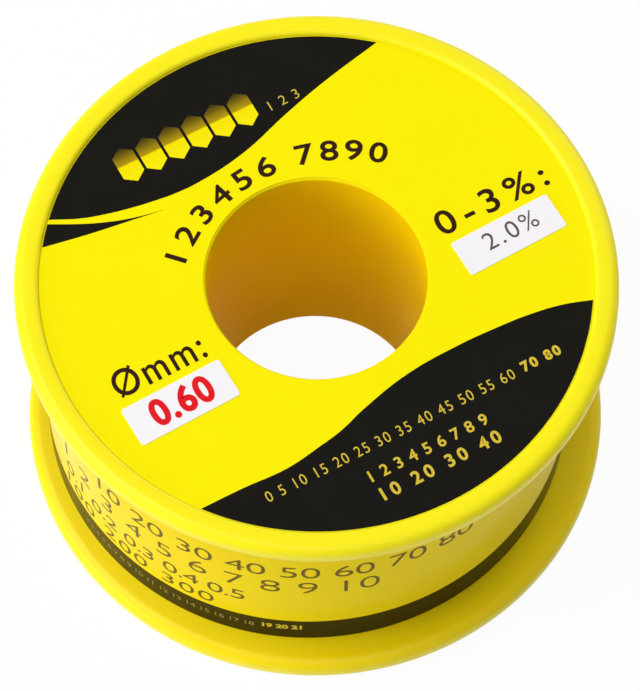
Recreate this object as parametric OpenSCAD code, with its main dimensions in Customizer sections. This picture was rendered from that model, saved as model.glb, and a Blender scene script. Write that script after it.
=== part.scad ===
// A spool of solder wire: a moulded bobbin, the wire wound on its drum,
// a label round the wire, a round label on the upper face and two value stickers on it.
// The origin is on the bore's axis at the lower resting ring, and +Z runs up the bore.
// The upper and the lower flange are the same moulding, turned over.

/* [Spool] */
// Height over the two resting rings
spool_h = 29.2; // [24:0.1:60]
// Diameter of both flanges
flange_d = 54.4; // [53:0.1:80]

/* [Flange] */
// Thickness of a flange at its rim
rim_t = 2.58; // [2.2:0.01:4]
// Width of the raised ring round each face
ring_w = 2.25; // [1.8:0.05:2.3]
// Depth of the face below the raised ring
face_recess = 0.55; // [0.3:0.05:1]
// Rounding of the rim on the face's side
rim_round = 0.92; // [0.4:0.01:1.2]
// Rounding of the rim on the wire's side
edge_round = 1.12; // [0.4:0.01:1.3]
// Rounding of the raised ring's inner corner
lip_round = 0.5; // [0.1:0.05:0.5]
// Width of the collar between the bore tube and the windows
collar_w = 1.2; // [0.8:0.1:1.6]
// Width of a spoke between two windows
spoke_w = 2.6; // [2:0.1:5]
// Height of the ring that seats inside the drum
spigot_h = 1.6; // [1:0.1:3]
// Wall of the ring that seats inside the drum
spigot_t = 1; // [0.8:0.1:1.6]

/* [Hub] */
// Diameter of the bore
bore_d = 20; // [12:0.1:23]
// Wall of the bore tube
bore_wall = 1.4; // [1:0.1:2]
// Rounding of the bore's two mouths
mouth_round = 0.2; // [0.1:0.05:0.5]
// Diameter of the drum that the wire is wound on
drum_d = 36; // [33:0.5:40]
// Wall of the drum
drum_wall = 1.4; // [1:0.1:2]
// Number of webs between the bore tube and the drum
web_count = 6; // [3:1:8]
// Thickness of a web
web_t = 1.2; // [0.8:0.1:2]

/* [Solder] */
// Diameter of the wire
wire_d = 0.6; // [0.4:0.05:1]
// Diameter over the outer layer of turns
winding_d = 47.2; // [44:0.1:49]
// Air between neighbouring turns of the outer layer
turn_gap = 0.42; // [0.41:0.01:1.5]
// Most turns that the outer layer is drawn with
turn_limit = 22; // [4:1:24]

/* [Labels] */
// Thickness of the label round the wire, a sleeve of printed paper
wrap_t = 0.12; // [0.08:0.01:0.3]
// How much larger the sleeve's inner radius is than the wound wire's, as it is glued loosely
wrap_slack = 0.85; // [0.2:0.05:1.2]
// Direction in which the loose sleeve stands off the wire, from +X towards +Y
slack_turn = 155; // [0:1:359]
// Length of the glued lap where the sleeve's ends meet
lap_l = 8; // [4:0.5:20]
// Direction of the lap's middle, from +X towards +Y
lap_turn = 118; // [0:1:359]
// Plain plastic left between the round label and the raised ring
label_edge_gap = 0.05; // [0.05:0.05:1]
// Plain plastic left between the round label's hole and the bore's wall
label_mouth_gap = 0.25; // [0.2:0.05:1]
// Thickness of the round label
face_label_t = 0.12; // [0.08:0.01:0.25]
// Turn of the round label about the bore
label_turn = 29.7; // [0:0.1:359]

/* [Stickers] */
// Length of the wire size sticker
size_sticker_l = 10; // [8:0.1:11]
// Width of the wire size sticker
size_sticker_w = 4; // [3:0.1:6]
// Length of the flux share sticker
flux_sticker_l = 10.1; // [8:0.1:11]
// Width of the flux share sticker
flux_sticker_w = 3.7; // [3:0.1:6]
// Angle by which the wire size sticker's centre lies below the label's level line
size_sticker_angle = 16.9; // [5:0.1:30]
// Angle by which the flux share sticker's centre lies below the label's level line
flux_sticker_angle = 15; // [5:0.1:30]
// How far the wire size sticker's centre lies outside the circle halfway across the label
size_sticker_shift = -0.25; // [-1:0.05:1]
// How far the flux share sticker's centre lies outside that circle
flux_sticker_shift = 0.3; // [-1:0.05:1]
// Tilt at which both stickers were put on, against the label's level line
sticker_tilt = 1.4; // [-5:0.1:5]
// Thickness of a sticker
sticker_t = 0.08; // [0.05:0.01:0.15]

/* [Fits] */
// Gap between the flanges and the hub where they are pressed together
seat_gap = 0.03; // [0.01:0.01:0.1]
// Gap between the wire's layers and what lies inside and outside them
layer_gap = 0.04; // [0.02:0.01:0.1]
// Gap between the wire or its label and a flange
side_gap = 0.15; // [0.1:0.05:0.5]

/* [Hidden] */

$fn = 96;
ARC_STEPS = 8;       // straight steps in a quarter round of an outline
WIRE_SIDES = 6;      // sides of the drawn wire
RINGS_PER_TURN = 24; // rings of the drawn wire in one turn
OVERLAP = 0.2;       // how far pieces of one moulding run into each other
BEYOND = 1;          // how far a cutter passes the faces it opens

flange_r = flange_d / 2;
bore_r = bore_d / 2;
tube_r = bore_r + bore_wall;
drum_r = drum_d / 2;
drum_in_r = drum_r - drum_wall;

// The flanges' faces and plates, and the space between them
ring_in_r = flange_r - ring_w;
lower_plate_z = rim_t;
upper_plate_z = spool_h - rim_t;
lower_face_z = face_recess;
upper_face_z = spool_h - face_recess;

// The flange's seats on the hub and its windows
seat_r = tube_r + seat_gap;
spigot_r = drum_in_r - seat_gap;
window_in_r = seat_r + collar_w;
window_out_r = spigot_r - spigot_t;

// The wire and its label
winding_r = winding_d / 2;
wire_r = wire_d / 2;
turn_r = winding_r - wire_r;
core_in_r = drum_r + layer_gap;
turn_in_r = (turn_r - wire_r) * cos(180 / RINGS_PER_TURN); // where the tube's straight steps lie closest in
core_out_r = turn_in_r - layer_gap;
wrap_in_r = winding_r + wrap_slack;
wrap_out_r = wrap_in_r + wrap_t;
wrap_shift = wrap_slack - layer_gap; // the sleeve rests on the wire on the side away from its slack
first_turn_z = lower_plate_z + side_gap + wire_r;
last_turn_z = upper_plate_z - side_gap - wire_r;
turn_space = last_turn_z - first_turn_z;
turns = min(turn_limit, floor(turn_space / (wire_d + turn_gap)));
turn_pitch = turn_space / turns;

// The round label, and the circle halfway across it that the stickers' places start from
label_top_z = upper_face_z + face_label_t;
label_out_r = ring_in_r - label_edge_gap;
label_in_r = bore_r + label_mouth_gap;
sticker_r = (label_out_r + label_in_r) / 2;

// ---- Outlines ----

// Points of a round stretch about a centre, from one direction to another
function arc(centre, r, from, to) = [
    for (i = [0 : ARC_STEPS])
    let (a = from + (to - from) * i / ARC_STEPS)
    centre + r * [cos(a), sin(a)]
];

// Half section of a flange as radius and height, with its ring down at height 0
function flange_outline() = concat(
    [[seat_r, face_recess]],
    [[ring_in_r, face_recess]],
    arc([ring_in_r + lip_round, lip_round], lip_round, 180, 270),
    arc([flange_r - rim_round, rim_round], rim_round, 270, 360),
    arc([flange_r - edge_round, rim_t - edge_round], edge_round, 0, 90),
    [[spigot_r, rim_t]],
    [[spigot_r, rim_t + spigot_h]],
    [[window_out_r, rim_t + spigot_h]],
    [[window_out_r, rim_t]],
    [[seat_r, rim_t]]
);

// Half section of the bore tube, with both mouths rounded
function tube_outline() = concat(
    arc([bore_r + mouth_round, lower_face_z + mouth_round], mouth_round, 180, 270),
    [[tube_r, lower_face_z]],
    [[tube_r, upper_face_z]],
    arc([bore_r + mouth_round, upper_face_z - mouth_round], mouth_round, 90, 180)
);

// ---- Shared shapes ----

// A plain ring on the bore's axis
module ring(in_r, out_r, from_z, to_z) {
    translate([0, 0, from_z])
        linear_extrude(to_z - from_z)
            difference() {
                circle(r = out_r);
                circle(r = in_r);
            }
}

// The windows between the spokes, as a cutter through the plate
module windows() {
    translate([0, 0, face_recess - BEYOND])
        linear_extrude(rim_t - face_recess + 2 * BEYOND)
            difference() {
                circle(r = window_out_r);
                circle(r = window_in_r);
                for (i = [0 : web_count - 1])
                    rotate(i * 360 / web_count)
                        translate([0, -spoke_w / 2])
                            square([flange_r, spoke_w]);
            }
}

// One flange moulding, lying with its raised ring down
module flange() {
    difference() {
        rotate_extrude() polygon(flange_outline());
        windows();
    }
}

// A value sticker on the round label, to the left (-1) or right (1) of the bore
module value_sticker(length, width, side, angle, shift) {
    r = sticker_r + shift;
    rotate(label_turn)
        translate([side * r * cos(angle), -r * sin(angle), label_top_z])
            rotate(sticker_tilt)
                translate([-length / 2, -width / 2, 0])
                    cube([length, width, sticker_t]);
}

// ---- The wire's outer layer ----

// A point on the wire's centre line, at a distance in turns from the first turn's start
function wire_point(t) = [
    turn_r * cos(360 * t),
    turn_r * sin(360 * t),
    first_turn_z + turn_pitch * t
];

// A straight end piece one wire diameter long, which leaves the coil along its own direction
function wire_end(t, way) =
    wire_point(t) + way * wire_d * [-sin(360 * t), cos(360 * t), 0];

ring_total = turns * RINGS_PER_TURN;
wire_path = concat(
    [wire_end(0, -1)],
    [for (i = [0 : ring_total]) wire_point(i / RINGS_PER_TURN)],
    [wire_end(turns, 1)]
);

// Turn of each ring about the axis, the same at a straight end as where it begins
wire_turns = concat(
    [0],
    [for (i = [0 : ring_total]) 360 * i / RINGS_PER_TURN],
    [360 * turns]
);

// Corners of the ring round one point of the path, flat towards the turns above and below
function wire_ring(k) = [
    for (j = [0 : WIRE_SIDES - 1])
    let (a = 360 * j / WIRE_SIDES)
    wire_path[k] + wire_r * [
        cos(a) * cos(wire_turns[k]),
        cos(a) * sin(wire_turns[k]),
        sin(a)
    ]
];

wire_rings = [for (k = [0 : len(wire_path) - 1]) wire_ring(k)];

// Least gap between one turn and the next, measured corner to corner over one turn
least_gap = min([
    for (k = [1 : len(wire_path) - RINGS_PER_TURN - 2])
    for (p = wire_rings[k])
    for (q = wire_rings[k + RINGS_PER_TURN])
    norm(p - q)
]);
echo(turns = turns, least_gap = least_gap);

module wire_tube() {
    count = len(wire_path);
    last = count - 1;
    walls = [
        for (k = [0 : last - 1])
        for (j = [0 : WIRE_SIDES - 1])
        let (a = k * WIRE_SIDES + j, b = k * WIRE_SIDES + (j + 1) % WIRE_SIDES)
        each [[a, a + WIRE_SIDES, b], [b, a + WIRE_SIDES, b + WIRE_SIDES]]
    ];
    start_cap = [for (j = [1 : WIRE_SIDES - 2]) [0, j, j + 1]];
    first_end = last * WIRE_SIDES;
    end_cap = [
        for (j = [1 : WIRE_SIDES - 2])
        [first_end, first_end + j + 1, first_end + j]
    ];
    polyhedron(points = [for (r = wire_rings) each r], faces = concat(walls, start_cap, end_cap));
}

// ---- The pieces ----

// Lower half of the bobbin's shell: its raised ring is what the spool stands on
module lower_flange() {
    color("gold")
        flange();
}

// Upper flange: the same moulding, turned over
module upper_flange() {
    color("gold")
        translate([0, 0, spool_h])
            rotate([180, 0, 0])
                flange();
}

// Hub moulding: the bore tube, the drum for the wire and the webs between them
module hub() {
    web_z = lower_plate_z + spigot_h + seat_gap;
    color("goldenrod") {
        rotate_extrude() polygon(tube_outline());
        ring(drum_in_r, drum_r, lower_plate_z, upper_plate_z);
        for (i = [0 : web_count - 1])
            rotate(i * 360 / web_count)
                translate([tube_r - OVERLAP, -web_t / 2, web_z])
                    cube([drum_in_r - tube_r + 2 * OVERLAP, web_t, spool_h - 2 * web_z]);
    }
}

// The inner layers of wire, as one solid
module solder_core() {
    color("silver")
        ring(core_in_r, core_out_r, lower_plate_z + side_gap, upper_plate_z - side_gap);
}

// The outer layer of wire, as one unbroken tube
module solder_outer_layer() {
    color("lightgray")
        wire_tube();
}

// Printed sleeve round the wire, with its glued lap
module wrap_label() {
    low = lower_plate_z + side_gap;
    high = upper_plate_z - side_gap;
    color("khaki")
        translate([0, 0, low])
            linear_extrude(high - low)
                translate(wrap_shift * [cos(slack_turn), sin(slack_turn)])
                    difference() {
                        union() {
                            circle(r = wrap_out_r);
                            lap();
                        }
                        circle(r = wrap_in_r);
                    }
}

// Outline of the lap: a second thickness of paper over a short stretch of the sleeve
module lap() {
    lap_angle = lap_l / wrap_out_r * 180 / PI;
    reach = 2 * wrap_out_r;
    intersection() {
        circle(r = wrap_out_r + wrap_t);
        rotate(lap_turn)
            polygon([
                [0, 0],
                reach * [cos(lap_angle / 2), -sin(lap_angle / 2)],
                reach * [cos(lap_angle / 2), sin(lap_angle / 2)]
            ]);
    }
}

// Round printed label that lies in the upper flange's recess and covers its windows
module face_label() {
    color("yellow")
        ring(label_in_r, label_out_r, upper_face_z, label_top_z);
}

// White sticker with the wire's size
module size_sticker() {
    color("white")
        value_sticker(size_sticker_l, size_sticker_w, -1, size_sticker_angle, size_sticker_shift);
}

// White sticker with the flux share
module flux_sticker() {
    color("whitesmoke")
        value_sticker(flux_sticker_l, flux_sticker_w, 1, flux_sticker_angle, flux_sticker_shift);
}

lower_flange();
upper_flange();
hub();
solder_core();
solder_outer_layer();
wrap_label();
face_label();
size_sticker();
flux_sticker();
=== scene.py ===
"""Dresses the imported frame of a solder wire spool.

The spool is a moulded bobbin of two flanges pressed on a hub, with solder wire
wound on its drum, a printed sleeve round the wire, a round label in the upper
flange and two value stickers on that label. Sizes are in millimetres, in the
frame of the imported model, until a finished mesh is scaled to metres.
"""

import logging
import math
from dataclasses import dataclass
from enum import Enum
from typing import NamedTuple, Sequence

import bmesh
import bpy
from bmesh.types import BMesh, BMVert
from bpy.types import Material, Node, NodeSocket, NodeTree
from mathutils import Matrix, Vector


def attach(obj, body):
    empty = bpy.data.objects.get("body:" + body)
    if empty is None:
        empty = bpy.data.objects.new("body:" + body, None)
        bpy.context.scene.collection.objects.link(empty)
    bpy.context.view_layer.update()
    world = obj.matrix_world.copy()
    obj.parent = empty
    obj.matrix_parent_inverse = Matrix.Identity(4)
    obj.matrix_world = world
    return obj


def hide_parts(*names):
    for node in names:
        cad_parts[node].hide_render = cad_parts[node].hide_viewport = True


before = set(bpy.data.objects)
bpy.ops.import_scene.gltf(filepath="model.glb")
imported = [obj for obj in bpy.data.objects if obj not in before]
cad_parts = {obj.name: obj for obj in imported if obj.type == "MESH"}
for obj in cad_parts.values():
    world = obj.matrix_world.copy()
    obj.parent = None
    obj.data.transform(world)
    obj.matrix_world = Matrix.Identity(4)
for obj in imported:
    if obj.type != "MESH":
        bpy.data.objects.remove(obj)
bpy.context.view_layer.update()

LOG = logging.getLogger("spool")
MM = 0.001            # metres in a millimetre
BODY = "root"         # the only body: nothing on a spool moves
SPOOL_H = 29.2        # height of the spool, in millimetres
MIDDLE_Z = SPOOL_H / 2
WIRE_Z = 2.73, 26.47  # free height between the flanges, where wire and sleeve lie
LABEL_TURN = 29.7     # turn of the round label about the bore, in degrees
SPIN_STEPS = 240      # straight steps in a full turn of a turned piece
NEAR = 0.01           # places no further apart than this count as one, in millimetres
WELD = 1e-3           # points closer than this become one point, in millimetres
TYPE_WELD = 1e-5      # the same in the units of a flat curve or text
CURVE_STEPS = 10      # straight steps from point to point of a smooth line
TYPE_STEPS = 8        # the same in a sign's curves
LEVEL = 0.99          # height of a face's normal from which the face counts as level
FOLD = 1.0            # turn of the surface, in radians, from which an edge is a fold
INK_TOP = 0.02        # height of an ink film over its paper, drawn thicker than real ink
INK_BITE = 0.01       # how far an ink film runs into its paper
PRINT_IOR = 1.5       # of printing ink and of the varnish on paper
HAZE_SPREAD = 0.22    # roughness of the pale haze on varnish

Pair = tuple[float, float]            # X and Y, or the two ends of a range
Triple = tuple[float, float, float]   # X, Y and Z, or three measures in a row


# ---- materials ----


def linear(colour: str) -> tuple[float, float, float, float]:
    """Turns an sRGB hex colour into linear red, green, blue and alpha.

    Args:
        colour: Six hex digits after a hash sign.

    Returns:
        The four linear channels.
    """
    channels = [int(colour[i:i + 2], 16) / 255 for i in (1, 3, 5)]
    curved = [c / 12.92 if c <= 0.04045 else ((c + 0.055) / 1.055) ** 2.4 for c in channels]
    return (*curved, 1.0)


def add(tree: NodeTree, kind: str, settings: dict | None = None, links: dict | None = None) -> Node:
    """Adds a node with its settings and links.

    Args:
        tree: The node tree that takes the node.
        kind: The node's type, without the ShaderNode that starts its name.
        settings: Values by property name, or by the name or number of an input.
        links: Output sockets by the name or number of the input they feed.

    Returns:
        The new node.
    """
    node = tree.nodes.new(f"ShaderNode{kind}")
    for key, value in (settings or {}).items():
        if isinstance(key, str) and hasattr(node, key):
            setattr(node, key, value)
        else:
            node.inputs[key].default_value = value
    for key, socket in (links or {}).items():
        tree.links.new(socket, node.inputs[key])
    return node


def empty_tree(owner: Material | bpy.types.World) -> NodeTree:
    """Gives a new material or world an empty node tree.

    Args:
        owner: The material or world.

    Returns:
        Its node tree.
    """
    owner.use_nodes = True
    owner.node_tree.nodes.clear()
    return owner.node_tree


class Recipe:
    """A material in the making: its node tree, shader and Object coordinates."""

    def __init__(self, name: str, settings: dict) -> None:
        """Starts a material on the Principled shader.

        Args:
            name: The material's name.
            settings: Plain values for the shader's own sockets.
        """
        self.material = bpy.data.materials.new(name)
        self.tree = empty_tree(self.material)
        self.shader = add(self.tree, "BsdfPrincipled", settings)
        add(self.tree, "OutputMaterial", links={"Surface": self.shader.outputs[0]})
        self.place = add(self.tree, "TexCoord").outputs["Object"]

    def grain(
        self, size: float, low: float = 0.0, high: float = 1.0, detail: float = 2.0,
        stretch: Triple = (1.0, 1.0, 1.0),
    ) -> NodeSocket:
        """Adds a soft random pattern in the piece's own place.

        Args:
            size: Size of its patches in millimetres.
            low: Value in its valleys.
            high: Value on its peaks.
            detail: Number of finer patterns laid over it.
            stretch: How much finer it is along X, Y and Z.

        Returns:
            The pattern's value.
        """
        scaled = add(self.tree, "Mapping", {"Scale": stretch}, {"Vector": self.place})
        noise = add(self.tree, "TexNoise", {"Scale": 1 / (size * MM), "Detail": detail},
                    {"Vector": scaled.outputs[0]})
        # Most of the noise lies between 0.3 and 0.7, and the rest is cut off
        spread = {"From Min": 0.3, "From Max": 0.7, "To Min": low, "To Max": high}
        return add(self.tree, "MapRange", spread, {"Value": noise.outputs[0]}).outputs[0]

    def mix(self, share: NodeSocket, first: str | NodeSocket, second: str) -> NodeSocket:
        """Mixes two colours.

        Args:
            share: How much of the second colour shows.
            first: A hex colour, or a socket that has one.
            second: A hex colour.

        Returns:
            The mixed colour.
        """
        # The node's colours are its inputs 6 and 7 and its output 2
        settings, links = {"data_type": "RGBA", 7: linear(second)}, {0: share}
        if isinstance(first, str):
            settings[6] = linear(first)
        else:
            links[6] = first
        return add(self.tree, "Mix", settings, links).outputs[2]

    def bump(self, height: NodeSocket, depth: float, under: NodeSocket | None = None) -> NodeSocket:
        """Lays a relief so many millimetres deep over the surface, or over a coarser relief."""
        links = {"Height": height} if under is None else {"Height": height, "Normal": under}
        return add(self.tree, "Bump", {"Distance": depth * MM}, links).outputs[0]

    def share(
        self, vector: NodeSocket, axis: int, start: float, full: float, middle: float = 0.0
    ) -> NodeSocket:
        """Tells how far a vector reaches along an axis, to either side of a middle.

        Args:
            vector: The vector.
            axis: The axis's number.
            start: Distance from the middle where the share starts.
            full: Distance where it is full.
            middle: Where the middle lies on the axis.

        Returns:
            The share, from 0 to 1.
        """
        away = add(self.tree, "SeparateXYZ", links={0: vector}).outputs[axis]
        for settings in ({"operation": "SUBTRACT", 1: middle}, {"operation": "ABSOLUTE"}):
            away = add(self.tree, "Math", settings, {0: away}).outputs[0]
        span = {"From Min": start, "From Max": full}
        return add(self.tree, "MapRange", span, {"Value": away}).outputs[0]

    def feed(self, **sockets: NodeSocket) -> Material:
        """Links sockets to the shader's inputs.

        Args:
            sockets: Output sockets by the name of their input, with _ for a space.

        Returns:
            The finished material.
        """
        for name, socket in sockets.items():
            self.tree.links.new(socket, self.shader.inputs[name.replace("_", " ")])
        return self.material


def varnished(name: str, specular: float, haze: float = 0.0) -> Recipe:
    """Starts the material of a printed surface, whose varnish pales where it is seen edgeways."""
    return Recipe(name, {"IOR": PRINT_IOR, "Specular IOR Level": specular,
                         "Sheen Weight": haze, "Sheen Roughness": HAZE_SPREAD})


@dataclass(frozen=True)
class MouldedPlastic:
    """Injection moulded ABS, coloured through: half gloss over a faint orange peel.

    The colour lies in the plastic, so light that enters comes out warmer.
    """

    name: str
    colour: str
    deep: str  # colour where the pigment lies thicker
    painted_highlight: str  # paler colour painted on the top and bottom ends as a painted highlight, against the deeper colour of the middle, which stands for shade
    painted_highlight_span: Pair  # distances from the middle height where that painted highlight starts and is full
    specular: float
    roughness: Pair = (0.30, 0.40)
    ior: float = 1.53
    glow: float = 0.12  # share of light that travels inside the plastic
    glow_reach: float = 1.2  # how far its red travels there, in millimetres
    glow_parts: Triple = (1.0, 0.55, 0.08)  # how far red, green and blue travel, as shares of that

    def material(self) -> Material:
        """Makes the plastic's material.

        Returns:
            The material.
        """
        recipe = Recipe(self.name, {
            "IOR": self.ior,
            "Specular IOR Level": self.specular,
            "Subsurface Weight": self.glow,
            "Subsurface Radius": self.glow_parts,
            "Subsurface Scale": self.glow_reach * MM,
        })
        # Patches of pigment some 9 mm wide, as the melt flowed into the mould
        melt = recipe.mix(recipe.grain(9.0, high=0.45), self.colour, self.deep)
        # Painted light: the colour pales towards the top and bottom ends, where light falls on
        # rings, rims and mouths, and stays deeper towards the middle, where shade falls
        start, full = (away * MM for away in self.painted_highlight_span)
        ends = recipe.share(recipe.place, 2, start, full, MIDDLE_Z * MM)
        colour = recipe.mix(ends, melt, self.painted_highlight)
        # Handling dulls the gloss in patches of about 3 mm
        roughness = recipe.grain(3.0, *self.roughness, detail=4.0)
        # Orange peel about 1.1 mm across and 2 thousandths deep, and a finer tooth from the mould
        peel = recipe.bump(recipe.grain(1.1), 0.002)
        tooth = recipe.bump(recipe.grain(0.16), 0.0005, peel)
        return recipe.feed(Base_Color=colour, Roughness=roughness, Normal=tooth)


class PaperLie(Enum):
    """How a paper lies: the normal's height where the pale cut edge starts, and where it is full."""

    FLAT = (0.3, 0.2)
    UPRIGHT = (0.7, 0.8)


@dataclass(frozen=True)
class PrintedPaper:
    """Gloss art paper with one flat printed colour: smooth, with pale cut edges."""

    name: str
    colour: str
    thin: str  # colour where the ink lies thinner
    lie: PaperLie
    specular: float
    roughness: Pair = (0.28, 0.36)
    core: str = "#F4F1E4"          # the paper below the print
    haze: float = 0.0  # how much the varnish pales where it is seen along its face

    def material(self) -> Material:
        """Makes the paper's material.

        Returns:
            The material.
        """
        recipe = varnished(self.name, self.specular, self.haze)
        # The ink's density drifts over some 12 mm, and the screen grain of 0.25 mm shows faintly
        drift = recipe.mix(recipe.grain(12.0, high=0.5), self.colour, self.thin)
        screened = recipe.mix(recipe.grain(0.25, high=0.22, detail=1.0), drift, self.thin)
        facing = add(recipe.tree, "NewGeometry").outputs["Normal"]
        colour = recipe.mix(recipe.share(facing, 2, *self.lie.value), screened, self.core)
        roughness = recipe.grain(4.0, *self.roughness, detail=3.0)
        # Paper on glue is never quite flat: waves of 7 mm, 6 thousandths deep, and a fine fibre
        waves = recipe.bump(recipe.grain(7.0, detail=1.0), 0.006)
        fibre = recipe.bump(recipe.grain(0.18), 0.0004, waves)
        return recipe.feed(Base_Color=colour, Roughness=roughness, Normal=fibre)


@dataclass(frozen=True)
class PrintingInk:
    """Offset printing ink: an even film, a little thinner here and there."""

    name: str
    colour: str
    thin: str
    specular: float
    roughness: Pair = (0.28, 0.38)
    haze: float = 0.0  # as on the paper, where varnish lies over both

    def material(self) -> Material:
        """Makes the ink's material.

        Returns:
            The material.
        """
        recipe = varnished(self.name, self.specular, self.haze)
        # The film thins in specks of 0.3 mm, its gloss drifts over 2.5 mm, and the fibre shows
        colour = recipe.mix(recipe.grain(0.3, high=0.5, detail=3.0), self.colour, self.thin)
        roughness = recipe.grain(2.5, *self.roughness)
        fibre = recipe.bump(recipe.grain(0.18), 0.0004)
        return recipe.feed(Base_Color=colour, Roughness=roughness, Normal=fibre)


@dataclass(frozen=True)
class GoldGradientInk:
    """Gold shades printed over one row: bright up to its middle, and darker from there up."""

    name: str
    low: float  # lower edge of the printed row, in the label's frame
    high: float  # upper edge of the row
    shades: tuple[tuple[float, str], ...]
    specular: float = 0.08
    roughness: Pair = (0.26, 0.38)

    def material(self) -> Material:
        """Makes the gradient's material, which runs across the turned label's rows.

        Returns:
            The material.
        """
        recipe = varnished(self.name, self.specular)
        turned = add(recipe.tree, "Mapping", {"Rotation": (0.0, 0.0, -math.radians(LABEL_TURN))},
                     {"Vector": recipe.place})
        across = recipe.share(turned.outputs[0], 1, self.low * MM, self.high * MM)
        ramp = add(recipe.tree, "ValToRGB", links={0: across})
        stops = ramp.color_ramp.elements
        for stop, (position, shade) in zip(stops, (self.shades[0], self.shades[-1])):
            stop.position, stop.color = position, linear(shade)
        for position, shade in self.shades[1:-1]:
            stops.new(position).color = linear(shade)
        # The gloss drifts over 1.5 mm
        roughness = recipe.grain(1.5, *self.roughness)
        return recipe.feed(Base_Color=ramp.outputs[0], Roughness=roughness)


@dataclass(frozen=True)
class DrawnSolder:
    """Tin and lead wire drawn through a die: soft grey metal with fine lines round the coil."""

    name: str
    colour: str
    dull: str  # colour where the metal has tarnished
    roughness: Pair = (0.28, 0.46)

    def material(self) -> Material:
        """Makes the wire's material.

        Returns:
            The material.
        """
        recipe = Recipe(self.name, {"Metallic": 1.0})
        # Tarnish in patches of 4 mm, and a gloss that drifts over 1.4 mm
        colour = recipe.mix(recipe.grain(4.0, high=0.8, detail=4.0), self.colour, self.dull)
        roughness = recipe.grain(1.4, *self.roughness, detail=3.0)
        # Die lines 0.12 mm apart that run along the wire, so they are long round the coil
        lines = recipe.grain(1.8, detail=1.0, stretch=(1.0, 1.0, 15.0))
        return recipe.feed(Base_Color=colour, Roughness=roughness, Normal=recipe.bump(lines, 0.003))


BRIGHT_PLASTIC = MouldedPlastic(
    "moulded_abs_bright_yellow", "#FBE004", "#F7D703", "#FDEE12", (12.3, 13.6), 0.2
)
# Painted shade: the hub is a deeper copy of the flanges' yellow plastic, standing for the shade
# inside the bore, and its ends pale again as a painted highlight at the mouths
PAINTED_SHADE_PLASTIC = MouldedPlastic(
    "moulded_abs_painted_shade_yellow", "#FDD600", "#FBCC00", "#FCE906", (13.7, 13.9), 0.02, (0.5, 0.6),
    glow=0.1,
)
ROUND_PAPER = PrintedPaper(
    "gloss_paper_flat_yellow", "#FDF001", "#FBEC03", PaperLie.FLAT, 0.08, core="#F6E230"
)
SLEEVE_PAPER = PrintedPaper(
    "gloss_paper_wrapped_yellow", "#FADF02", "#F6D904", PaperLie.UPRIGHT, 0.01, (0.15, 0.22),
    haze=0.5,
)
STICKER_PAPER = PrintedPaper(
    "matt_paper_white", "#F7F5F8", "#F2F0F3", PaperLie.FLAT, 0.25, (0.5, 0.6)
)
BLACK_INK = PrintingInk("offset_ink_black", "#100F0B", "#161511", 0.06)
STRIPE_INK = PrintingInk("offset_ink_stripe_black", "#160C06", "#1B120A", 0.08, (0.18, 0.26))
BROWN_INK = PrintingInk("offset_ink_dark_brown", "#2A0F03", "#371806", 0.1)
SLEEVE_INK = PrintingInk(
    "offset_ink_olive_brown", "#705A08", "#7A640E", 0.02, (0.15, 0.22), haze=0.35
)
RED_INK = PrintingInk("transfer_ink_red", "#DE0014", "#E6101E", 0.2, (0.4, 0.5))
GREY_INK = PrintingInk("transfer_ink_grey_brown", "#574A44", "#655850", 0.2, (0.4, 0.5))
PALE_GOLD_INK = PrintingInk("offset_ink_pale_gold", "#DCC23C", "#C4A82C", 0.2)
DULL_GOLD_INK = PrintingInk("offset_ink_dull_gold", "#8C7F48", "#7A6E3C", 0.3)
SOLDER = DrawnSolder("drawn_tin_lead_wire", "#C3C4C6", "#9C9DA0")


# ---- mesh helpers ----


class Corner(NamedTuple):
    """A corner of a turned outline, with the radius that rounds it."""

    r: float
    z: float
    rounding: float = 0.0
    steps: int = 6


def closed(bm: BMesh) -> BMesh:
    """Fills the open ends of a mesh and turns its faces outwards.

    Args:
        bm: The mesh.

    Returns:
        The same mesh.
    """
    bmesh.ops.holes_fill(bm, edges=[e for e in bm.edges if e.is_boundary], sides=0)
    bmesh.ops.recalc_face_normals(bm, faces=bm.faces[:])
    return bm


def spun(corners: Sequence[Corner]) -> BMesh:
    """Turns a closed outline round the bore's axis.

    Args:
        corners: The outline's corners in order.

    Returns:
        The closed solid of revolution, with its faces outwards.
    """
    bm = bmesh.new()
    verts = [bm.verts.new((c.r, 0.0, c.z)) for c in corners]
    bm.faces.new(verts)
    for vert, corner in zip(verts, corners):
        if corner.rounding:
            reach = corner.rounding / math.tan(vert.link_loops[0].calc_angle() / 2)
            bmesh.ops.bevel(
                bm, geom=[vert], offset=reach, offset_type="ABSOLUTE", affect="VERTICES",
                segments=corner.steps, profile=0.5, material=-1,
            )
    bmesh.ops.delete(bm, geom=bm.faces[:], context="FACES_ONLY")
    bmesh.ops.spin(
        bm, geom=bm.verts[:] + bm.edges[:], cent=(0, 0, 0), axis=(0, 0, 1),
        angle=math.tau, steps=SPIN_STEPS, use_merge=True,
    )
    return closed(bm)


def pipe(inner_r: float, outer_r: float, low: float, high: float, mouth: float = 0.0) -> BMesh:
    """Turns a pipe or flat ring round the bore's axis, with the mouths of its hole rounded."""
    return spun([Corner(inner_r, low, mouth), Corner(outer_r, low),
                 Corner(outer_r, high), Corner(inner_r, high, mouth)])


def written(name: str, bm: BMesh) -> bpy.types.Mesh:
    """Writes a mesh out as mesh data and frees it.

    Args:
        name: The data's name.
        bm: The mesh.

    Returns:
        The mesh data.
    """
    mesh = bpy.data.meshes.new(name)
    bm.to_mesh(mesh)
    bm.free()
    return mesh


def shown(name: str, data: bpy.types.ID) -> bpy.types.Object:
    """Makes an object and puts it into the scene.

    Args:
        name: The object's name.
        data: Its mesh, lamp or camera data.

    Returns:
        The object.
    """
    made = bpy.data.objects.new(name, data)
    bpy.context.scene.collection.objects.link(made)
    return made


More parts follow.
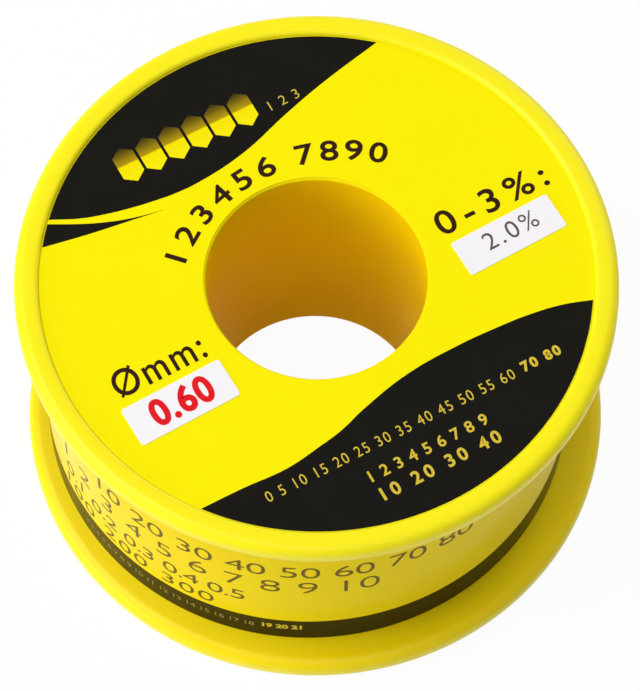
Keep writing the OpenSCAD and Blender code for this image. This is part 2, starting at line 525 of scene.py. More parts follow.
def joined(parts: Sequence[BMesh]) -> BMesh:
    """Puts several meshes into one and frees them.

    Args:
        parts: The meshes.

    Returns:
        One mesh with all of them.
    """
    whole = bmesh.new()
    for part in parts:
        carrier = written("carrier", part)
        whole.from_mesh(carrier)
        bpy.data.meshes.remove(carrier)
    return whole


def placed(bm: BMesh, matrix: Matrix) -> BMesh:
    """Moves a whole mesh by a matrix and returns it."""
    bmesh.ops.transform(bm, matrix=matrix, verts=bm.verts[:])
    return bm


def extent(bm: BMesh) -> tuple[Vector, Vector]:
    """Measures a mesh and returns its lowest and its highest corner."""
    axes = [[v.co[i] for v in bm.verts] for i in range(3)]
    return Vector([min(a) for a in axes]), Vector([max(a) for a in axes])


def flat_mesh(curve: bpy.types.Curve) -> BMesh:
    """Makes a flat curve or text a mesh and removes it.

    Args:
        curve: The curve's or text's data.

    Returns:
        Its filled shape, at height 0.
    """
    carrier = bpy.data.objects.new("carrier", curve)
    mesh = bpy.data.meshes.new_from_object(carrier)
    bm = bmesh.new()
    bm.from_mesh(mesh)
    bpy.data.objects.remove(carrier)
    bpy.data.curves.remove(curve)
    bpy.data.meshes.remove(mesh)
    bmesh.ops.remove_doubles(bm, verts=bm.verts[:], dist=TYPE_WELD)
    return bm


def outline(*lines: Sequence[Pair]) -> BMesh:
    """Fills a shape between smooth lines that meet at sharp corners.

    Args:
        lines: Each line's points from its first corner on, without the corner at its end.

    Returns:
        The filled shape, at height 0.
    """
    curve = bpy.data.curves.new("outline", "CURVE")
    curve.dimensions = "2D"
    curve.fill_mode = "FRONT"
    curve.resolution_u = CURVE_STEPS
    spline = curve.splines.new("BEZIER")
    points = [(place, index == 0) for line in lines for index, place in enumerate(line)]
    spline.bezier_points.add(len(points) - 1)
    for point, ((x, y), sharp) in zip(spline.bezier_points, points):
        point.co = (x, y, 0.0)
        point.handle_left_type = point.handle_right_type = "VECTOR" if sharp else "AUTO"
    spline.use_cyclic_u = True
    return flat_mesh(curve)


def set_line(words: str, spacing: float = 1.0) -> BMesh:
    """Sets a line of type at the type's own size.

    Args:
        words: What the line says.
        spacing: Space from sign to sign, 1 for the type's own.

    Returns:
        The line's filled shapes, at height 0.
    """
    curve = bpy.data.curves.new("figures", "FONT")
    curve.body = words
    curve.space_character = spacing
    curve.resolution_u = TYPE_STEPS
    return flat_mesh(curve)


def line_size(words: str, spacing: float = 1.0) -> Triple:
    """Measures a line of type and returns its width, and its lowest and highest point."""
    low, high = extent(set_line(words, spacing))
    return high.x - low.x, low.y, high.y


def thickened(bm: BMesh, by: float) -> BMesh:
    """Moves the rims of flat shapes outwards, so that their strokes get thicker.

    Args:
        bm: The shapes, facing up.
        by: How far every rim moves, in millimetres.

    Returns:
        The same shapes.
    """
    moves = {}
    for vert in bm.verts:
        outward = Vector()
        for edge in vert.link_edges:
            if edge.is_boundary:
                loop = edge.link_loops[0]
                along = (loop.link_loop_next.vert.co - loop.vert.co).normalized()
                outward += Vector((along.y, -along.x, 0.0))
        moves[vert] = outward * 2 * by / max(outward.length_squared, 1.0)
    for vert, move in moves.items():
        vert.co += move
    return bm


def film(bm: BMesh) -> BMesh:
    """Gives flat printed shapes the thickness of an ink film.

    Args:
        bm: The shapes, at the height of the surface below them.

    Returns:
        The same shapes as closed films.
    """
    bmesh.ops.translate(bm, vec=(0.0, 0.0, -INK_BITE), verts=bm.verts[:])
    grown = bmesh.ops.extrude_face_region(bm, geom=bm.faces[:], use_keep_orig=True)
    lifted = [g for g in grown["geom"] if isinstance(g, BMVert)]
    bmesh.ops.translate(bm, vec=(0.0, 0.0, INK_TOP + INK_BITE), verts=lifted)
    return closed(bm)


def piece(
    name: str, bm: BMesh, material: Material, replaces: Sequence[str] = (),
    sharp: float = 35.0,
) -> None:
    """Makes a finished mesh a piece of the spool, in metres.

    Args:
        name: The piece's name.
        bm: Its mesh in millimetres, which is freed.
        material: Its material.
        replaces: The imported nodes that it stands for.
        sharp: Angle in degrees from which an edge stays sharp.
    """
    mesh = written(name, placed(bm, Matrix.Scale(MM, 4)))
    mesh.shade_smooth()
    mesh.set_sharp_from_angle(angle=math.radians(sharp))
    mesh.materials.append(material)
    made = shown(name, mesh)
    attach(made, BODY)
    if replaces:
        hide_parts(*replaces)
    LOG.info("%s: %d faces, %s", name, len(mesh.polygons), material.name)


# ---- the bobbin ----


class Side(Enum):
    """Which flange a moulding is."""

    LOWER = "lower"
    UPPER = "upper"


@dataclass
class Flange:
    """One flange moulding, modelled with its raised ring down at height 0."""

    rim_r: float = 27.2
    rim_t: float = 2.58
    ring_w: float = 2.25
    recess: float = 0.55
    rim_round: float = 0.92
    edge_round: float = 1.12
    lip_round: float = 0.5
    seat_r: float = 11.43
    collar_w: float = 1.2
    spigot_r: float = 16.57
    spigot_t: float = 1.0
    spigot_h: float = 1.6
    spigot_round: float = 0.25
    spokes: int = 6
    spoke_w: float = 2.6
    window_round: float = 0.2
    support: float = 0.25  # band round the windows that takes up their roundings' shading

    @property
    def window(self) -> Pair:
        """Inner and outer radius of the windows between the spokes."""
        return self.seat_r + self.collar_w, self.spigot_r - self.spigot_t

    def corners(self) -> list[Corner]:
        """Lists the corners of the flange's half section.

        Returns:
            The corners in order, from the hub's seat on the outer face.
        """
        ring_in_r = self.rim_r - self.ring_w
        inner, outer = self.window
        top = self.rim_t + self.spigot_h
        face = (self.seat_r, inner - self.support, inner, outer, outer + self.support, ring_in_r)
        return [
            *(Corner(r, self.recess) for r in face),
            Corner(ring_in_r, 0.0, self.lip_round),
            Corner(self.rim_r, 0.0, self.rim_round, 8),
            Corner(self.rim_r, self.rim_t, self.edge_round, 8),
            Corner(self.spigot_r, self.rim_t),
            Corner(self.spigot_r, top, self.spigot_round, 3),
            Corner(outer, top, self.spigot_round, 3),
            *(Corner(r, self.rim_t) for r in (outer, inner, self.seat_r)),
        ]

    def spoke_offset(self, co: Vector) -> Pair:
        """Finds the spoke that a point is nearest to.

        Args:
            co: The point.

        Returns:
            The spoke's direction, and the point's turn from it, both in radians.
        """
        step = math.tau / self.spokes
        turn = math.atan2(co.y, co.x)
        spoke = round(turn / step) * step
        return spoke, turn - spoke

    def cut_windows(self, bm: BMesh) -> None:
        """Opens the windows through the plate, with spokes of one width between them.

        Args:
            bm: The turned flange.
        """
        inner, outer = self.window
        half_w = self.spoke_w / 2
        column = math.tau / SPIN_STEPS
        edge = (math.floor(math.asin(half_w / outer) / column) + 1) * column
        plate = []
        for face in bm.faces:
            middle = face.calc_center_median()
            level = abs(face.normal.z) > LEVEL and middle.z < self.rim_t + NEAR
            clear = abs(self.spoke_offset(middle)[1]) > edge
            if level and clear and inner < middle.xy.length < outer:
                plate.append(face)
        bmesh.ops.delete(bm, geom=plate, context="FACES")
        # The columns of faces in a spoke close up evenly, until its sides run parallel
        for vert in bm.verts:
            spoke, turn = self.spoke_offset(vert.co)
            radius = vert.co.xy.length
            near = inner - 2 * self.support < radius < outer + 2 * self.support
            if near and abs(turn) < edge + column / 2:
                turn *= math.asin(half_w / min(max(radius, inner), outer)) / edge
                vert.co.xy = radius * math.cos(spoke + turn), radius * math.sin(spoke + turn)
        rims = [e for e in bm.edges if e.is_boundary]
        step = math.tau / self.spokes
        for index in range(self.spokes):
            middle = Vector((math.cos((index + 0.5) * step), math.sin((index + 0.5) * step)))
            window = [e for e in rims
                      if sum((v.co for v in e.verts), Vector()).xy.angle(middle) < step / 2]
            bmesh.ops.bridge_loops(bm, edges=window)
        closed(bm)
        mouths = [
            e for e in bm.edges
            if all(abs(v.co.z - self.recess) < NEAR for v in e.verts)
            and inner - NEAR < e.verts[0].co.xy.length < outer + NEAR
            and e.calc_face_angle(0.0) > FOLD
        ]
        bmesh.ops.bevel(
            bm, geom=mouths, offset=self.window_round, offset_type="OFFSET", affect="EDGES",
            segments=2, profile=0.5, material=-1,
        )

    def build(self, side: Side, material: Material) -> None:
        """Makes the lower or the upper flange.

        Args:
            side: Which flange.
            material: The moulding's material.
        """
        bm = spun(self.corners())
        self.cut_windows(bm)
        if side is Side.UPPER:
            lift = Matrix.Translation((0.0, 0.0, SPOOL_H))
            placed(bm, lift @ Matrix.Rotation(math.pi, 4, "X"))
        name = f"{side.value}_flange"
        piece(f"{name}_moulding", bm, material, [name])


@dataclass
class Hub:
    """The hub moulding: bore tube, drum and the webs between them."""

    bore_r: float = 10.0
    tube_r: float = 11.4
    face_z: Pair = (0.55, 28.65)
    mouth_round: float = 0.2
    drum_in_r: float = 16.6
    drum_r: float = 18.0
    plate_z: Pair = (2.58, 26.62)
    webs: int = 6
    web_t: float = 1.2
    web_z: Pair = (4.21, 24.99)
    overlap: float = 0.2  # how far the webs run into the tube and the drum

    def build(self, material: Material) -> None:
        """Makes the hub in one moulding.

        Args:
            material: The moulding's material.
        """
        tube = pipe(self.bore_r, self.tube_r, *self.face_z, self.mouth_round)
        drum = pipe(self.drum_in_r, self.drum_r, *self.plate_z)
        piece("hub_moulding", joined([tube, drum, self.web_mesh()]), material,
              ["hub"])

    def web_mesh(self) -> BMesh:
        """Makes the webs.

        Returns:
            One mesh with all of them.
        """
        bm = bmesh.new()
        length = self.drum_in_r - self.tube_r + 2 * self.overlap
        height = self.web_z[1] - self.web_z[0]
        middle = Vector(((self.tube_r + self.drum_in_r) / 2, 0.0, sum(self.web_z) / 2))
        for index in range(self.webs):
            turned = Matrix.Rotation(index * math.tau / self.webs, 4, "Z")
            shape = Matrix.Translation(middle) @ Matrix.Diagonal((length, self.web_t, height, 1.0))
            bmesh.ops.create_cube(bm, size=1.0, matrix=turned @ shape)
        return bm


# ---- the wire ----


@dataclass
class Winding:
    """The outer layer of wire, wound close in one unbroken coil."""

    wire_d: float = 0.6
    outer_r: float = 23.6
    sides: int = 10
    steps: int = 96  # steps in one turn

    def build(self, material: Material) -> None:
        """Makes the coil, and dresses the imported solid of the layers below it.

        Args:
            material: The wire's material.
        """
        wire_r = self.wire_d / 2
        low, high = WIRE_Z
        turns = int((high - low - self.wire_d) / self.wire_d)
        pitch = (high - low - self.wire_d) / turns
        bm = bmesh.new()
        start = Matrix.Translation((self.outer_r - wire_r, 0.0, low + wire_r))
        bmesh.ops.create_circle(
            bm, segments=self.sides, radius=wire_r,
            matrix=start @ Matrix.Rotation(math.pi / 2, 4, "X"),
        )
        bmesh.ops.spin(
            bm, geom=bm.verts[:] + bm.edges[:], cent=(0, 0, 0), axis=(0, 0, 1),
            dvec=(0, 0, pitch / self.steps), angle=math.tau, steps=self.steps,
        )
        one_turn = bm.verts[:] + bm.edges[:] + bm.faces[:]
        for turn in range(1, turns):
            copied = bmesh.ops.duplicate(bm, geom=one_turn)["geom"]
            verts = [g for g in copied if isinstance(g, BMVert)]
            bmesh.ops.translate(bm, vec=(0.0, 0.0, turn * pitch), verts=verts)
        bmesh.ops.remove_doubles(bm, verts=bm.verts[:], dist=WELD)
        closed(bm)
        piece("wound_wire", bm, material, ["solder_outer_layer"], sharp=50.0)
        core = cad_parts["solder_core"]
        core.data.materials.clear()
        core.data.materials.append(material)
        LOG.info("solder_core: kept as packed, %s, %d turns over it", material.name, turns)


# ---- printed papers ----


class PrintedRow(NamedTuple):
    """A printed line of plain figures: where it is and how it is set."""

    text: str
    x: float  # its left end, in millimetres or degrees
    y: float  # the middle of its figures
    height: float
    width: float | None  # None leaves the type's own spaces
    bold: float = 0.0  # how far the strokes' rims move outwards, in millimetres
    stretch: float = 1.0  # how much wider each figure is than the type's own

    def shapes(self) -> BMesh:
        """Sets the row, centred on the origin.

        Returns:
            Its filled shapes, at height 0.
        """
        _, base, top = line_size("0")
        scale = (self.height - 2 * self.bold) / (top - base)
        wide = scale * self.stretch
        spacing = 1.0
        if self.width is not None:
            # The width grows evenly with the spacing, so two measures give any width's spacing
            tight, loose = line_size(self.text)[0], line_size(self.text, 2.0)[0]
            spacing += ((self.width - 2 * self.bold) / wide - tight) / (loose - tight)
        bm = set_line(self.text, spacing)
        low, high = extent(bm)
        middle = Vector(((low.x + high.x) / 2, (base + top) / 2, 0.0))
        size = Matrix.Diagonal((wide, scale, 1.0, 1.0))
        return thickened(placed(bm, size @ Matrix.Translation(-middle)), self.bold)


@dataclass
class Sleeve:
    """The printed paper glued loosely round the wire, with its print."""

    outer_r: float = 24.57
    paper_t: float = 0.12
    centre: Pair = (-0.734, 0.342)
    lap_l: float = 8.0
    lap_turn: float = 118.0
    lap_gap: float = 0.04
    ramp_l: float = 1.4  # stretch over which the paper climbs onto its own start
    steps: int = 260
    stripe_top: float = 6.6
    stripe_inset: float = 0.01  # keeps the stripe clear of the paper's lower edge
    slice_w: float = 0.4  # widest flat of a figure that is bent round the sleeve
    rows: tuple[PrintedRow, ...] = (
        PrintedRow("10 20 30 40 50 60 70 80", -140.0, 17.9, 2.3, 37.7, -0.03, 1.2),
        PrintedRow("1 2 3 4 5 6 7 8 9 10", -154.0, 14.5, 2.45, 34.3, -0.05, 1.2),
        PrintedRow("0.1 0.2 0.3 0.4 0.5", -154.0, 11.1, 2.0, 21.9, -0.02, 1.2),
        PrintedRow("100 200 300", -154.0, 8.3, 1.9, 18.9, -0.02, 1.3),
    )
    stripe_row: PrintedRow = PrintedRow(
        "1 2 3 4 5 6 7 8 9 10 11 12 13 14 15 16 17 18", -148.0, 4.95, 0.85, 20.2
    )
    stripe_end_row: PrintedRow = PrintedRow("19 20 21", -99.2, 5.2, 0.9, 3.7, 0.05)

    def strip(self, inner_r: float, outer_r: float, low: float, high: float) -> BMesh:
        """Makes a band that follows the sleeve once round and over its own start.

        Args:
            inner_r: Inner radius where the paper lies single.
            outer_r: Outer radius there.
            low: Height of its lower edge.
            high: Height of its upper edge.

        Returns:
            The closed band.
        """
        lap = self.lap_l / self.outer_r
        sweep = math.tau + lap
        start = math.radians(self.lap_turn) - lap / 2
        bm = bmesh.new()
        section = [(inner_r, low), (outer_r, low), (outer_r, high), (inner_r, high)]
        verts = [bm.verts.new((r, 0.0, z)) for r, z in section]
        edges = [bm.edges.new((a, b)) for a, b in zip(verts, verts[1:] + verts[:1])]
        bmesh.ops.spin(
            bm, geom=verts + edges, cent=(0, 0, 0), axis=(0, 0, 1), angle=sweep, steps=self.steps,
        )
        for index, vert in enumerate(bm.verts):
            along = index // len(section) * sweep / self.steps
            climbed = (along - math.tau) * self.outer_r / self.ramp_l + 1
            share = min(max(climbed, 0.0), 1.0)
            # The climb starts and ends softly
            lift = (self.paper_t + self.lap_gap) * share * share * (3 - 2 * share)
            radius = vert.co.xy.length
            vert.co.xy = vert.co.xy * (radius + lift) / radius
        closed(bm)
        shift = Matrix.Translation((*self.centre, 0.0))
        return placed(bm, shift @ Matrix.Rotation(start, 4, "Z"))

    def bent(self, row: PrintedRow, above: float = 0.0) -> BMesh:
        """Sets a row of figures and bends it round the sleeve.

        Args:
            row: The row, whose x is the direction of its left end in degrees.
            above: Thickness of the print below the row.

        Returns:
            The row's ink film on the sleeve.
        """
        bm = row.shapes()
        low, high = extent(bm)
        cut = low.x + self.slice_w
        while cut < high.x:
            everything = bm.verts[:] + bm.edges[:] + bm.faces[:]
            bmesh.ops.bisect_plane(bm, geom=everything, plane_co=(cut, 0, 0), plane_no=(1, 0, 0))
            cut += self.slice_w
        film(bm)
        for vert in bm.verts:
            turn = math.radians(row.x) + (vert.co.x - low.x) / self.outer_r
            radius = self.outer_r + above + vert.co.z
            vert.co = (
                self.centre[0] + radius * math.cos(turn),
                self.centre[1] + radius * math.sin(turn),
                row.y + vert.co.y,
            )
        return bm

    def build(self, pale_gold: Material) -> None:
        """Makes the paper, the stripe along its lower edge and the figures.

        Args:
            pale_gold: The pale gold ink's material.
        """
        low, high = WIRE_Z
        inner_r = self.outer_r - self.paper_t
        piece("sleeve_label_paper", self.strip(inner_r, self.outer_r, low, high),
              SLEEVE_PAPER.material(), ["wrap_label"])
        stripe = self.strip(self.outer_r - INK_BITE, self.outer_r + INK_TOP,
                            low + self.stripe_inset, self.stripe_top)
        for name, shapes, ink in (
            ("stripe_ink", stripe, STRIPE_INK.material()),
            ("figures_ink", joined([self.bent(row) for row in self.rows]), SLEEVE_INK.material()),
            ("stripe_figures_ink", self.bent(self.stripe_row, INK_TOP), DULL_GOLD_INK.material()),
            ("stripe_end_ink", self.bent(self.stripe_end_row, INK_TOP), pale_gold),
        ):
            piece(f"sleeve_label_{name}", shapes, ink)


@dataclass
class RoundLabel:
    """The round paper in the upper flange, with its leaves and figures.

    Its own frame has X to the right along its level line and is turned about the bore.
    """

    inner_r: float = 10.2
    outer_r: float = 24.94
    low: float = 28.65
    paper_t: float = 0.12
    print_edge: float = 0.06  # paper left bare outside the print
    arc_step: float = 5.0  # degrees between the points of a leaf's outer edge
    upper_leaf: tuple[Pair, ...] = (
        (-18.36, 16.8), (-15.7, 15.5), (-13.5, 14.8), (-11.3, 14.28), (-9.0, 13.88),
        (-7.0, 13.65), (-4.9, 13.62), (0.2, 14.3), (5.7, 16.0), (9.9, 17.15), (16.59, 18.54),
    )
    sliver_upper: tuple[Pair, ...] = (
        (-18.68, 16.44), (-15.95, 14.98), (-14.0, 14.1), (-12.2, 13.46), (-10.6, 13.04),
        (-8.82, 12.69),
    )
    sliver_lower: tuple[Pair, ...] = (
        (-8.82, 12.69), (-11.7, 13.12), (-15.94, 13.77), (-20.16, 14.58),
    )
    lower_leaf: tuple[Pair, ...] = (
        (20.59, -13.95), (17.9, -13.03), (14.8, -12.45), (11.56, -12.17), (7.8, -12.04),
        (2.4, -12.31), (-2.7, -13.43), (-5.4, -14.28), (-7.9, -14.74), (-11.4, -15.2),
        (-15.7, -15.0), (-19.89, -14.95),
    )
    arch_centre: Pair = (0.83, -4.19)
    arch_r: float = 16.27
    arch_h: float = 2.1
    arch_bold: float = 0.05
    arch_stretch: float = 1.25
    # Each word of the arch: its figures, and the directions of the first and the last one in
    # degrees from the label's up line, as seen from the arch's centre
    arch_words: tuple[tuple[str, float, float], ...] = (
        ("123456", 42.4, -2.0), ("7890", -15.3, -39.2),
    )
    captions: tuple[PrintedRow, ...] = (
        PrintedRow("Ømm:", -21.1, -0.85, 2.73, 8.9, 0.03, 0.86),
        PrintedRow("0-3%:", 12.0, -0.72, 2.47, 11.25, 0.04, 1.15),
    )
    gold_rows: tuple[PrintedRow, ...] = (
        PrintedRow("0 5 10 15 20 25 30 35 40 45 50 55 60", -14.4, -16.8, 1.05, 25.1, 0.0, 0.85),
        PrintedRow("1 2 3 4 5 6 7 8 9", -5.5, -19.45, 1.15, 11.9, 0.03),
        PrintedRow("10 20 30 40", -5.4, -21.45, 1.3, 12.0, 0.05),
        PrintedRow("1 2 3", 4.7, 17.4, 1.0, 3.0, -0.01),
        PrintedRow("70 80", 11.6, -16.7, 1.05, 3.9, 0.06),
    )
    tile_row: tuple[float, float, float, float] = (-10.6, 3.6, 16.4, 20.2)  # left, right, foot, top
    tile_count: int = 6
    tile_share: float = 0.88  # width of a tile as a share of its place
    tile_point: float = 0.2  # height of a tile's point as a share of the tile's height
    tile_shades: tuple[tuple[float, str], ...] = (
        (0.0, "#FBEE0E"), (0.5, "#F8E400"), (0.54, "#B4960A"), (0.8, "#6E5C0E"), (1.0, "#1E1902"),
    )

    def on_label(self, bm: BMesh) -> BMesh:
        """Gives flat shapes in the label's frame their ink film and place, and returns them."""
        up = Matrix.Translation((0.0, 0.0, self.low + self.paper_t))
        return placed(film(bm), up @ Matrix.Rotation(math.radians(LABEL_TURN), 4, "Z"))

    def edge(self, start: Pair, end: Pair) -> list:
        """Lists points along the label's edge, between the directions of two points.

        Args:
            start: The point that the edge is left at.
            end: The point that it comes back to, the short way round.

        Returns:
            The points in between, without the two.
        """
        first = math.degrees(math.atan2(start[1], start[0]))
        sweep = (math.degrees(math.atan2(end[1], end[0])) - first + 180) % 360 - 180
        count = max(2, round(abs(sweep) / self.arc_step))
        turns = [math.radians(first + sweep * i / count) for i in range(1, count)]
        radius = self.outer_r - self.print_edge
        return [(radius * math.cos(t), radius * math.sin(t)) for t in turns]

    def leaf(self, *lines: Sequence[Pair]) -> BMesh:
        """Makes a leaf between smooth lines, each from the last one's end, and the label's edge."""
        start, end = lines[-1][-1], lines[0][0]
        return outline(*(line[:-1] for line in lines), [start, *self.edge(start, end)])

    def leaves(self) -> BMesh:
        """Makes the two leaves and the sliver beside the upper one."""
        return joined([self.leaf(self.upper_leaf), self.leaf(self.lower_leaf),
                       self.leaf(self.sliver_upper, self.sliver_lower)])

    def arch(self) -> BMesh:
        """Sets the arched row, figure by figure, upright to the arch's centre.

        Returns:
            The figures in the label's frame.
        """
        parts = []
        centre = Matrix.Translation((*self.arch_centre, 0.0))
        up = Matrix.Translation((0.0, self.arch_r, 0.0))
        for word, first, last in self.arch_words:
            for index, sign in enumerate(word):
                turn = first + (last - first) * index / (len(word) - 1)
                turned = centre @ Matrix.Rotation(math.radians(turn), 4, "Z") @ up
                row = PrintedRow(
                    sign, 0.0, 0.0, self.arch_h, None, self.arch_bold, self.arch_stretch
                )
                parts.append(placed(row.shapes(), turned))
        return joined(parts)

    def row(self, row: PrintedRow) -> BMesh:
        """Sets a straight row in the label's frame."""
        return placed(row.shapes(), Matrix.Translation((row.x + row.width / 2, row.y, 0.0)))

    def tiles(self) -> BMesh:
        """Makes the row of plain pointed tiles on the upper leaf.

        Returns:
            The flat tiles in the label's frame.
        """
        left, right, low, high = self.tile_row
        place = (right - left) / self.tile_count
        half_w, half_h = place * self.tile_share / 2, (high - low) / 2
        shoulder = half_h * (1 - 2 * self.tile_point)
        corners = [(0.0, -half_h), (half_w, -shoulder), (half_w, shoulder),
                   (0.0, half_h), (-half_w, shoulder), (-half_w, -shoulder)]
        bm = bmesh.new()
        for index in range(self.tile_count):
            middle = (left + (index + 0.5) * place, (low + high) / 2)
            bm.faces.new([bm.verts.new((middle[0] + x, middle[1] + y, 0.0)) for x, y in corners])
        return bm

    def build(self, pale_gold: Material) -> None:
        """Makes the paper and its print.

        Args:
            pale_gold: The pale gold ink's material.
        """
        gold = GoldGradientInk(
            "offset_ink_gold_gradient", *self.tile_row[2:], self.tile_shades
        )
        paper = pipe(self.inner_r, self.outer_r, self.low, self.low + self.paper_t)
        piece("round_label_paper", paper, ROUND_PAPER.material(), ["face_label"])
        brown = joined([self.arch(), *map(self.row, self.captions)])
        fine = joined([*map(self.row, self.gold_rows)])
        # Each print's name, shapes and ink, and the thickness of the print below it
        for name, shapes, ink, above in (
            ("black_ink", self.leaves(), BLACK_INK.material(), 0.0),
            ("figures_ink", brown, BROWN_INK.material(), 0.0),
            ("gold_figures_ink", fine, pale_gold, INK_TOP),
            ("gold_tiles_ink", self.tiles(), gold.material(), INK_TOP),
        ):
            lifted = placed(self.on_label(shapes), Matrix.Translation((0.0, 0.0, above)))
            piece(f"round_label_{name}", lifted, ink)


@dataclass
class ValueSticker:
    """A white sticker on the round label, with one printed value."""

    node: str
    length: float
    width: float
    side: int  # -1 left of the bore, 1 right of it
    centre_r: float
    below: float  # degrees below the label's level line
    value: PrintedRow  # placed from the sticker's centre
    ink: PrintingInk
    tilt: float = 1.4
    low: float = 28.77
    paper_t: float = 0.08
    corner_round: float = 0.25

    def spot(self) -> Matrix:
        """Finds the sticker's place on the label.

        Returns:
            The place and turn of its centre.
        """
        drop = math.radians(self.below)
        x, y = self.side * self.centre_r * math.cos(drop), -self.centre_r * math.sin(drop)
        turned = Matrix.Rotation(math.radians(LABEL_TURN), 4, "Z")
        tilted = Matrix.Rotation(math.radians(self.tilt), 4, "Z")
        return turned @ Matrix.Translation((x, y, self.low)) @ tilted

    def build(self, paper: Material) -> None:
        """Makes the sticker and its figures.

        Args:
            paper: The sticker paper's material.
        """
        bm = bmesh.new()
        size = Matrix.Diagonal((self.length, self.width, self.paper_t, 1.0))
        middle = Matrix.Translation((0.0, 0.0, self.paper_t / 2))
        bmesh.ops.create_cube(bm, size=1.0, matrix=middle @ size)
        upright = [e for e in bm.edges if abs(e.verts[0].co.z - e.verts[1].co.z) > NEAR]
        bmesh.ops.bevel(
            bm, geom=upright, offset=self.corner_round, offset_type="OFFSET", affect="EDGES",
            segments=6, profile=0.5, material=-1,
        )
        piece(f"{self.node}_paper", placed(bm, self.spot()), paper, [self.node])
        place = Matrix.Translation((self.value.x, self.value.y, self.paper_t))
        piece(f"{self.node}_figures_ink", placed(film(self.value.shapes()), self.spot() @ place),
              self.ink.material())


# ---- the studio ----


class SoftLight(NamedTuple):
    """A soft round lamp that points at the spool."""

    name: str
    place: Triple
    size: float
    watts: float


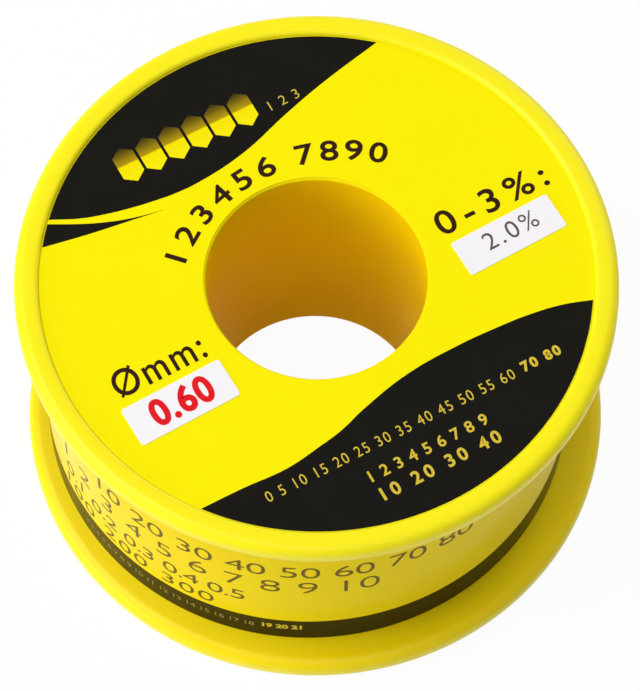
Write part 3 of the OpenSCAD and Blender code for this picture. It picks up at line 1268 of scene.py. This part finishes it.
@dataclass
class Studio:
    """The pale floor, the soft light and the camera, in metres."""

    camera_place: Triple = (0.000373, -0.182800, 0.390873)
    camera_right: Triple = (0.99993, 0.01083, 0.00527)
    camera_up: Triple = (-0.01204, 0.89932, 0.43713)
    lens: float = 235.34  # millimetres on a frame 36 mm high
    sensor_h: float = 36.0
    floor_half: float = 3.0
    floor_drop: float = 0.00002  # keeps the floor clear of the ring that stands on it
    white: str = "#FFFFFF"
    floor_colour: str = "#F4F4F4"
    floor_white: float = 0.95  # share of plain white that the camera sees in the floor
    ambient: float = 0.2
    lights: tuple[SoftLight, ...] = (
        SoftLight("key_softbox", (-0.475, 0.0, 0.823), 0.6, 4.9),
        SoftLight("side_softbox", (-0.866, -0.368, 0.132), 0.8, 6.0),
        SoftLight("front_softbox", (0.0, -0.475, 0.823), 0.6, 1.4),
        SoftLight("edge_softbox", (0.411, 0.713, 0.475), 0.6, 2.6),
    )

    def background(self, tree: NodeTree) -> NodeSocket:
        """Adds the share of rays that see the background itself: camera, glossy and transmission.

        Args:
            tree: The node tree that takes the nodes.

        Returns:
            The share, 0 or 1.
        """
        path = add(tree, "LightPath")
        seen = path.outputs["Is Camera Ray"]
        for kind in ("Is Glossy Ray", "Is Transmission Ray"):
            links = {0: seen, 1: path.outputs[kind]}
            seen = add(tree, "Math", {"operation": "MAXIMUM"}, links).outputs[0]
        return seen

    def build_world(self) -> None:
        """Makes a world that is white where it is seen and gives a plain level of light."""
        world = bpy.data.worlds.new("studio_white")
        tree = empty_tree(world)
        levels = {"To Min": self.ambient}
        level = add(tree, "MapRange", levels, {"Value": self.background(tree)}).outputs[0]
        glow = add(tree, "Background", {"Color": linear(self.white)}, {"Strength": level})
        add(tree, "OutputWorld", links={"Surface": glow.outputs[0]})
        bpy.context.scene.world = world

    def build_floor(self) -> None:
        """Makes the pale floor, which keeps a faint shadow of the spool."""
        material = bpy.data.materials.new("studio_floor_white")
        tree = empty_tree(material)
        matt = add(tree, "BsdfDiffuse", {"Color": linear(self.floor_colour)})
        glow = add(tree, "Emission", {"Color": linear(self.white), "Strength": 1.0})
        part = {"operation": "MULTIPLY", 1: self.floor_white}
        share = add(tree, "Math", part, {0: self.background(tree)})
        shaders = {0: share.outputs[0], 1: matt.outputs[0], 2: glow.outputs[0]}
        both = add(tree, "MixShader", links=shaders)
        add(tree, "OutputMaterial", links={"Surface": both.outputs[0]})
        bm = bmesh.new()
        below = Matrix.Translation((0.0, 0.0, -self.floor_drop))
        bmesh.ops.create_grid(bm, x_segments=1, y_segments=1, size=self.floor_half, matrix=below)
        mesh = written("studio_floor", bm)
        mesh.materials.append(material)
        shown("studio_floor", mesh)

    def build_lights(self) -> None:
        """Hangs the soft lamps."""
        for lamp in self.lights:
            data = bpy.data.lights.new(lamp.name, "AREA")
            data.shape = "DISK"
            data.size = lamp.size
            data.energy = lamp.watts
            aim = (-Vector(lamp.place)).to_track_quat("-Z", "Y").to_matrix().to_4x4()
            shown(lamp.name, data).matrix_world = Matrix.Translation(lamp.place) @ aim

    def build_camera(self) -> None:
        """Sets up the camera."""
        data = bpy.data.cameras.new("camera")
        data.sensor_fit = "VERTICAL"
        data.sensor_height = self.sensor_h
        data.lens = self.lens
        data.dof.use_dof = False
        right = Vector(self.camera_right).normalized()
        back = right.cross(Vector(self.camera_up)).normalized()
        axes = Matrix((right, back.cross(right), back)).transposed().to_4x4()
        camera = shown("camera", data)
        camera.matrix_world = Matrix.Translation(self.camera_place) @ axes
        bpy.context.scene.camera = camera

    def build(self) -> None:
        """Makes the whole studio and sets the plain view of colours."""
        self.build_camera()
        self.build_world()
        self.build_floor()
        self.build_lights()
        bpy.context.scene.view_settings.view_transform = "Standard"
        LOG.info("studio: camera, floor and %d lamps", len(self.lights))


STICKERS = (
    ValueSticker("size_sticker", 10.0, 4.0, -1, 17.325, 16.9,
                 PrintedRow("0.60", 0.15, 0.1, 2.75, 6.1, 0.12, 0.9), RED_INK),
    ValueSticker("flux_sticker", 10.1, 3.7, 1, 17.875, 15.0,
                 PrintedRow("2.0%", 0.35, 0.3, 1.75, 5.4, -0.01), GREY_INK),
)


def main() -> None:
    """Builds the studio and every piece of the spool."""
    logging.basicConfig(level=logging.INFO, format="%(name)s: %(message)s")
    Studio().build()
    bright = BRIGHT_PLASTIC.material()
    for side in Side:
        Flange().build(side, bright)
    Hub().build(PAINTED_SHADE_PLASTIC.material())
    Winding().build(SOLDER.material())
    pale_gold = PALE_GOLD_INK.material()
    Sleeve().build(pale_gold)
    RoundLabel().build(pale_gold)
    paper = STICKER_PAPER.material()
    for sticker in STICKERS:
        sticker.build(paper)


if __name__ == "__main__":
    main()
